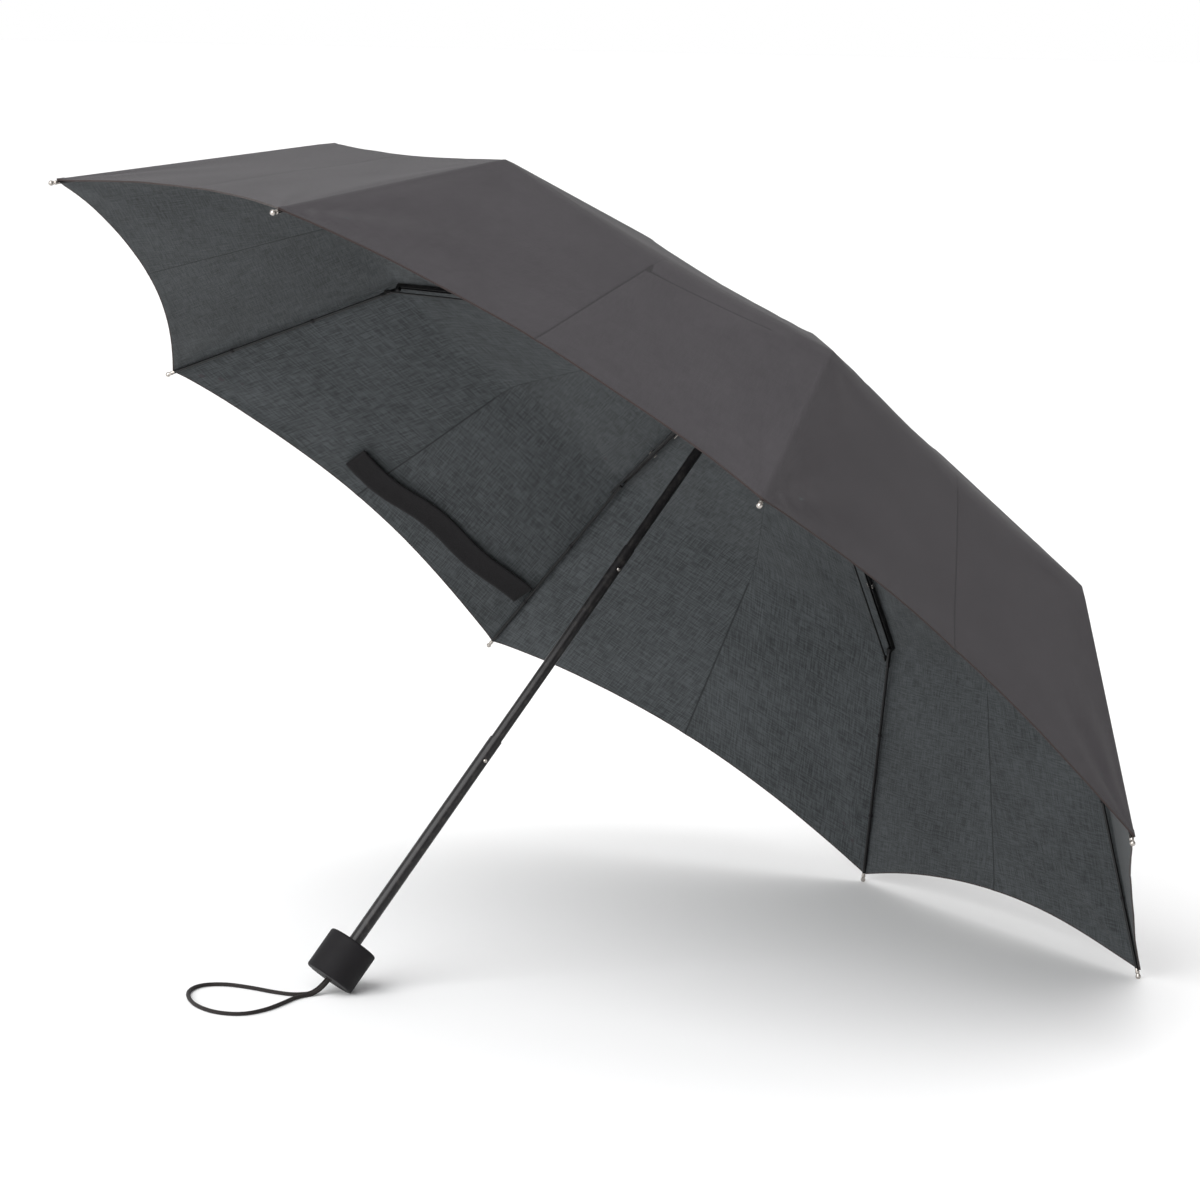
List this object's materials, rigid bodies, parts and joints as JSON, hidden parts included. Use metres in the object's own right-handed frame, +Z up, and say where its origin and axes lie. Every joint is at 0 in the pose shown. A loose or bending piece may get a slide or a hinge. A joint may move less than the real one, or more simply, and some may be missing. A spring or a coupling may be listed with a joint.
{
  "type": "folding umbrella",
  "caption": "Compact folding umbrella, open, lying on its handle rim and rib tips, with a telescoping shaft, hinged ribs, sliding runner and wrist loop.",
  "frame": {"origin": "on the surface it lies on, under the middle of the open umbrella without its wrist cord", "axes": "+Z up from the surface, +Y across the canopy's widest pair of sides, +X along the surface from the handle towards the canopy"},
  "size_m": [0.6968, 0.8878, 0.5821],
  "materials": {
    "tube_black": "satin",
    "rib_black": "satin",
    "bright_metal": "satin",
    "hub_plastic": "matt",
    "handle_soft": "matt",
    "canopy_fabric": "matt",
    "strap_fabric": "matt",
    "cord_braid": "matt"
  },
  "bodies": {
    "canopy_head": {"upper_tube": "tube_black", "crown_hub": "hub_plastic", "crown_ring": "bright_metal", "top_cap": "hub_plastic", "canopy": "canopy_fabric"},
    "middle_shaft": {"middle_tube": "tube_black"},
    "lower_shaft": {"lower_tube": "tube_black", "handle_core": "hub_plastic", "handle_shell": "handle_soft", "handle_plug": "handle_soft", "wrist_cord": "cord_braid"},
    "runner_slider": {"runner": "hub_plastic", "runner_ring": "bright_metal"},
    "catch": {"runner_catch": "bright_metal"},
    "upper_lock": {"upper_button": "bright_metal"},
    "lower_lock": {"lower_button": "bright_metal"},
    "inner_1": {"inner_rib_1": "rib_black"},
    "middle_1": {"middle_rib_1": "rib_black"},
    "outer_1": {"outer_rib_1": "rib_black"},
    "rod_1": {"pull_rod_1": "rib_black"},
    "strut_1": {"stretcher_1": "rib_black"},
    "inner_2": {"inner_rib_2": "rib_black"},
    "middle_2": {"middle_rib_2": "rib_black"},
    "outer_2": {"outer_rib_2": "rib_black", "closure_strap": "strap_fabric"},
    "rod_2": {"pull_rod_2": "rib_black"},
    "strut_2": {"stretcher_2": "rib_black"},
    "inner_3": {"inner_rib_3": "rib_black"},
    "middle_3": {"middle_rib_3": "rib_black"},
    "outer_3": {"outer_rib_3": "rib_black"},
    "rod_3": {"pull_rod_3": "rib_black"},
    "strut_3": {"stretcher_3": "rib_black"},
    "inner_4": {"inner_rib_4": "rib_black"},
    "middle_4": {"middle_rib_4": "rib_black"},
    "outer_4": {"outer_rib_4": "rib_black"},
    "rod_4": {"pull_rod_4": "rib_black"},
    "strut_4": {"stretcher_4": "rib_black"},
    "inner_5": {"inner_rib_5": "rib_black"},
    "middle_5": {"middle_rib_5": "rib_black"},
    "outer_5": {"outer_rib_5": "rib_black"},
    "rod_5": {"pull_rod_5": "rib_black"},
    "strut_5": {"stretcher_5": "rib_black"},
    "inner_6": {"inner_rib_6": "rib_black"},
    "middle_6": {"middle_rib_6": "rib_black"},
    "outer_6": {"outer_rib_6": "rib_black"},
    "rod_6": {"pull_rod_6": "rib_black"},
    "strut_6": {"stretcher_6": "rib_black"},
    "inner_7": {"inner_rib_7": "rib_black"},
    "middle_7": {"middle_rib_7": "rib_black"},
    "outer_7": {"outer_rib_7": "rib_black"},
    "rod_7": {"pull_rod_7": "rib_black"},
    "strut_7": {"stretcher_7": "rib_black"},
    "inner_8": {"inner_rib_8": "rib_black"},
    "middle_8": {"middle_rib_8": "rib_black"},
    "outer_8": {"outer_rib_8": "rib_black"},
    "rod_8": {"pull_rod_8": "rib_black"},
    "strut_8": {"stretcher_8": "rib_black"}
  },
  "joints": [
    {"name": "middle_tube_slide", "type": "slide", "parent": "canopy_head", "child": "middle_shaft", "axis": [0.6207, 0, 0.7841], "range_m": [0, 0.15], "deforming": ["upper_button", "runner_catch"]},
    {"name": "lower_tube_slide", "type": "slide", "parent": "middle_shaft", "child": "lower_shaft", "axis": [0.6207, 0, 0.7841], "range_m": [0, 0.145], "deforming": ["lower_button"]},
    {"name": "runner_slide", "type": "slide", "parent": "canopy_head", "child": "runner_slider", "axis": [-0.6207, 0, -0.7841], "range_m": [0, 0.13837], "deforming": ["canopy", "closure_strap"]},
    {"name": "catch_press", "type": "slide", "parent": "canopy_head", "child": "catch", "axis": [0, 1, 0], "range_m": [0, 0.00162]},
    {"name": "upper_button_press", "type": "slide", "parent": "canopy_head", "child": "upper_lock", "axis": [0, 1, 0], "range_m": [0, 0.00162]},
    {"name": "lower_button_press", "type": "slide", "parent": "middle_shaft", "child": "lower_lock", "axis": [0, 1, 0], "range_m": [0, 0.00162]},
    {"name": "inner_fold_1", "type": "hinge", "parent": "canopy_head", "child": "inner_1", "pos_m": [0.13267, 0.00383, 0.42885], "axis": [-0.3001, 0.9239, 0.2375], "range_deg": [0, 83]},
    {"name": "middle_fold_1", "type": "hinge", "parent": "inner_1", "child": "middle_1", "pos_m": [0.24257, 0.06672, 0.32303], "axis": [0.3001, -0.9239, -0.2375], "range_deg": [0, 189]},
    {"name": "outer_fold_1", "type": "hinge", "parent": "middle_1", "child": "outer_1", "pos_m": [0.32718, 0.12717, 0.19481], "axis": [-0.3001, 0.9239, 0.2375], "range_deg": [0, 151.41]},
    {"name": "strut_fold_1", "type": "hinge", "parent": "runner_slider", "child": "strut_1", "pos_m": [0.09936, 0.00383, 0.38678], "axis": [0.3001, -0.9239, -0.2375], "range_deg": [0, 66.56]},
    {"name": "rod_slide_1", "type": "slide", "parent": "middle_1", "child": "rod_1", "axis": [-0.328, -0.3337, 0.8838], "range_m": [0, 0.01745]},
    {"name": "inner_fold_2", "type": "hinge", "parent": "canopy_head", "child": "inner_2", "pos_m": [0.12843, 0.00924, 0.43221], "axis": [-0.7244, 0.3827, 0.5734], "range_deg": [0, 83]},
    {"name": "middle_fold_2", "type": "hinge", "parent": "inner_2", "child": "middle_2", "pos_m": [0.16858, 0.16109, 0.3816], "axis": [0.7244, -0.3827, -0.5734], "range_deg": [0, 189]},
    {"name": "outer_fold_2", "type": "hinge", "parent": "middle_2", "child": "outer_2", "pos_m": [0.18617, 0.30702, 0.30643], "axis": [-0.7244, 0.3827, 0.5734], "range_deg": [0, 151.41]},
    {"name": "strut_fold_2", "type": "hinge", "parent": "runner_slider", "child": "strut_2", "pos_m": [0.09512, 0.00924, 0.39014], "axis": [0.7244, -0.3827, -0.5734], "range_deg": [0, 66.56]},
    {"name": "rod_slide_2", "type": "slide", "parent": "middle_2", "child": "rod_2", "axis": [0.0421, -0.8057, 0.5908], "range_m": [0, 0.01745]},
    {"name": "inner_fold_3", "type": "hinge", "parent": "canopy_head", "child": "inner_3", "pos_m": [0.12242, 0.00924, 0.43696], "axis": [-0.7244, -0.3827, 0.5734], "range_deg": [0, 83]},
    {"name": "middle_fold_3", "type": "hinge", "parent": "inner_3", "child": "middle_3", "pos_m": [0.06395, 0.16109, 0.46442], "axis": [0.7244, 0.3827, -0.5734], "range_deg": [0, 189]},
    {"name": "outer_fold_3", "type": "hinge", "parent": "middle_3", "child": "outer_3", "pos_m": [-0.01325, 0.30702, 0.46429], "axis": [-0.7244, -0.3827, 0.5734], "range_deg": [0, 151.41]},
    {"name": "strut_fold_3", "type": "hinge", "parent": "runner_slider", "child": "strut_3", "pos_m": [0.08912, 0.00924, 0.39489], "axis": [0.7244, 0.3827, -0.5734], "range_deg": [0, 66.56]},
    {"name": "rod_slide_3", "type": "slide", "parent": "middle_3", "child": "rod_3", "axis": [0.5654, -0.8057, 0.1766], "range_m": [0, 0.01745]},
    {"name": "inner_fold_4", "type": "hinge", "parent": "canopy_head", "child": "inner_4", "pos_m": [0.11818, 0.00383, 0.44032], "axis": [-0.3001, -0.9239, 0.2375], "range_deg": [0, 83]},
    {"name": "middle_fold_4", "type": "hinge", "parent": "inner_4", "child": "middle_4", "pos_m": [-0.01004, 0.06672, 0.52299], "axis": [0.3001, 0.9239, -0.2375], "range_deg": [0, 189]},
    {"name": "outer_fold_4", "type": "hinge", "parent": "middle_4", "child": "outer_4", "pos_m": [-0.15426, 0.12717, 0.57591], "axis": [-0.3001, -0.9239, 0.2375], "range_deg": [0, 151.41]},
    {"name": "strut_fold_4", "type": "hinge", "parent": "runner_slider", "child": "strut_4", "pos_m": [0.08488, 0.00383, 0.39824], "axis": [0.3001, 0.9239, -0.2375], "range_deg": [0, 66.56]},
    {"name": "rod_slide_4", "type": "slide", "parent": "middle_4", "child": "rod_4", "axis": [0.9355, -0.3337, -0.1163], "range_m": [0, 0.01745]},
    {"name": "inner_fold_5", "type": "hinge", "parent": "canopy_head", "child": "inner_5", "pos_m": [0.11818, -0.00383, 0.44032], "axis": [0.3001, -0.9239, -0.2375], "range_deg": [0, 83]},
    {"name": "middle_fold_5", "type": "hinge", "parent": "inner_5", "child": "middle_5", "pos_m": [-0.01004, -0.06672, 0.52299], "axis": [-0.3001, 0.9239, 0.2375], "range_deg": [0, 189]},
    {"name": "outer_fold_5", "type": "hinge", "parent": "middle_5", "child": "outer_5", "pos_m": [-0.15426, -0.12717, 0.57591], "axis": [0.3001, -0.9239, -0.2375], "range_deg": [0, 151.41]},
    {"name": "strut_fold_5", "type": "hinge", "parent": "runner_slider", "child": "strut_5", "pos_m": [0.08488, -0.00383, 0.39824], "axis": [-0.3001, 0.9239, 0.2375], "range_deg": [0, 66.56]},
    {"name": "rod_slide_5", "type": "slide", "parent": "middle_5", "child": "rod_5", "axis": [0.9355, 0.3337, -0.1163], "range_m": [0, 0.01745]},
    {"name": "inner_fold_6", "type": "hinge", "parent": "canopy_head", "child": "inner_6", "pos_m": [0.12242, -0.00924, 0.43696], "axis": [0.7244, -0.3827, -0.5734], "range_deg": [0, 83]},
    {"name": "middle_fold_6", "type": "hinge", "parent": "inner_6", "child": "middle_6", "pos_m": [0.06395, -0.16109, 0.46442], "axis": [-0.7244, 0.3827, 0.5734], "range_deg": [0, 189]},
    {"name": "outer_fold_6", "type": "hinge", "parent": "middle_6", "child": "outer_6", "pos_m": [-0.01325, -0.30702, 0.46429], "axis": [0.7244, -0.3827, -0.5734], "range_deg": [0, 151.41]},
    {"name": "strut_fold_6", "type": "hinge", "parent": "runner_slider", "child": "strut_6", "pos_m": [0.08912, -0.00924, 0.39489], "axis": [-0.7244, 0.3827, 0.5734], "range_deg": [0, 66.56]},
    {"name": "rod_slide_6", "type": "slide", "parent": "middle_6", "child": "rod_6", "axis": [0.5654, 0.8057, 0.1766], "range_m": [0, 0.01745]},
    {"name": "inner_fold_7", "type": "hinge", "parent": "canopy_head", "child": "inner_7", "pos_m": [0.12843, -0.00924, 0.43221], "axis": [0.7244, 0.3827, -0.5734], "range_deg": [0, 83]},
    {"name": "middle_fold_7", "type": "hinge", "parent": "inner_7", "child": "middle_7", "pos_m": [0.16858, -0.16109, 0.3816], "axis": [-0.7244, -0.3827, 0.5734], "range_deg": [0, 189]},
    {"name": "outer_fold_7", "type": "hinge", "parent": "middle_7", "child": "outer_7", "pos_m": [0.18617, -0.30702, 0.30643], "axis": [0.7244, 0.3827, -0.5734], "range_deg": [0, 151.41]},
    {"name": "strut_fold_7", "type": "hinge", "parent": "runner_slider", "child": "strut_7", "pos_m": [0.09512, -0.00924, 0.39014], "axis": [-0.7244, -0.3827, 0.5734], "range_deg": [0, 66.56]},
    {"name": "rod_slide_7", "type": "slide", "parent": "middle_7", "child": "rod_7", "axis": [0.0421, 0.8057, 0.5908], "range_m": [0, 0.01745]},
    {"name": "inner_fold_8", "type": "hinge", "parent": "canopy_head", "child": "inner_8", "pos_m": [0.13267, -0.00383, 0.42885], "axis": [0.3001, 0.9239, -0.2375], "range_deg": [0, 83]},
    {"name": "middle_fold_8", "type": "hinge", "parent": "inner_8", "child": "middle_8", "pos_m": [0.24257, -0.06672, 0.32303], "axis": [-0.3001, -0.9239, 0.2375], "range_deg": [0, 189]},
    {"name": "outer_fold_8", "type": "hinge", "parent": "middle_8", "child": "outer_8", "pos_m": [0.32718, -0.12717, 0.19481], "axis": [0.3001, 0.9239, -0.2375], "range_deg": [0, 151.41]},
    {"name": "strut_fold_8", "type": "hinge", "parent": "runner_slider", "child": "strut_8", "pos_m": [0.09936, -0.00383, 0.38678], "axis": [-0.3001, -0.9239, 0.2375], "range_deg": [0, 66.56]},
    {"name": "rod_slide_8", "type": "slide", "parent": "middle_8", "child": "rod_8", "axis": [-0.328, 0.3337, 0.8838], "range_m": [0, 0.01745]}
  ],
  "couplings": [
    {"joint": "catch_press", "follows": "middle_tube_slide", "ratio": 0.0108},
    {"joint": "upper_button_press", "follows": "middle_tube_slide", "ratio": 0.0108},
    {"joint": "lower_button_press", "follows": "lower_tube_slide", "ratio": 0.011172},
    {"joint": "inner_fold_1", "follows": "runner_slide", "rad_per_m": 10.469},
    {"joint": "middle_fold_1", "follows": "runner_slide", "rad_per_m": 23.839},
    {"joint": "outer_fold_1", "follows": "runner_slide", "rad_per_m": 19.097},
    {"joint": "strut_fold_1", "follows": "runner_slide", "rad_per_m": 8.3952},
    {"joint": "rod_slide_1", "follows": "runner_slide", "ratio": 0.12606},
    {"joint": "inner_fold_2", "follows": "runner_slide", "rad_per_m": 10.469},
    {"joint": "middle_fold_2", "follows": "runner_slide", "rad_per_m": 23.839},
    {"joint": "outer_fold_2", "follows": "runner_slide", "rad_per_m": 19.097},
    {"joint": "strut_fold_2", "follows": "runner_slide", "rad_per_m": 8.3952},
    {"joint": "rod_slide_2", "follows": "runner_slide", "ratio": 0.12606},
    {"joint": "inner_fold_3", "follows": "runner_slide", "rad_per_m": 10.469},
    {"joint": "middle_fold_3", "follows": "runner_slide", "rad_per_m": 23.839},
    {"joint": "outer_fold_3", "follows": "runner_slide", "rad_per_m": 19.097},
    {"joint": "strut_fold_3", "follows": "runner_slide", "rad_per_m": 8.3952},
    {"joint": "rod_slide_3", "follows": "runner_slide", "ratio": 0.12606},
    {"joint": "inner_fold_4", "follows": "runner_slide", "rad_per_m": 10.469},
    {"joint": "middle_fold_4", "follows": "runner_slide", "rad_per_m": 23.839},
    {"joint": "outer_fold_4", "follows": "runner_slide", "rad_per_m": 19.097},
    {"joint": "strut_fold_4", "follows": "runner_slide", "rad_per_m": 8.3952},
    {"joint": "rod_slide_4", "follows": "runner_slide", "ratio": 0.12606},
    {"joint": "inner_fold_5", "follows": "runner_slide", "rad_per_m": 10.469},
    {"joint": "middle_fold_5", "follows": "runner_slide", "rad_per_m": 23.839},
    {"joint": "outer_fold_5", "follows": "runner_slide", "rad_per_m": 19.097},
    {"joint": "strut_fold_5", "follows": "runner_slide", "rad_per_m": 8.3952},
    {"joint": "rod_slide_5", "follows": "runner_slide", "ratio": 0.12606},
    {"joint": "inner_fold_6", "follows": "runner_slide", "rad_per_m": 10.469},
    {"joint": "middle_fold_6", "follows": "runner_slide", "rad_per_m": 23.839},
    {"joint": "outer_fold_6", "follows": "runner_slide", "rad_per_m": 19.097},
    {"joint": "strut_fold_6", "follows": "runner_slide", "rad_per_m": 8.3952},
    {"joint": "rod_slide_6", "follows": "runner_slide", "ratio": 0.12606},
    {"joint": "inner_fold_7", "follows": "runner_slide", "rad_per_m": 10.469},
    {"joint": "middle_fold_7", "follows": "runner_slide", "rad_per_m": 23.839},
    {"joint": "outer_fold_7", "follows": "runner_slide", "rad_per_m": 19.097},
    {"joint": "strut_fold_7", "follows": "runner_slide", "rad_per_m": 8.3952},
    {"joint": "rod_slide_7", "follows": "runner_slide", "ratio": 0.12606},
    {"joint": "inner_fold_8", "follows": "runner_slide", "rad_per_m": 10.469},
    {"joint": "middle_fold_8", "follows": "runner_slide", "rad_per_m": 23.839},
    {"joint": "outer_fold_8", "follows": "runner_slide", "rad_per_m": 19.097},
    {"joint": "strut_fold_8", "follows": "runner_slide", "rad_per_m": 8.3952},
    {"joint": "rod_slide_8", "follows": "runner_slide", "ratio": 0.12606}
  ]
}
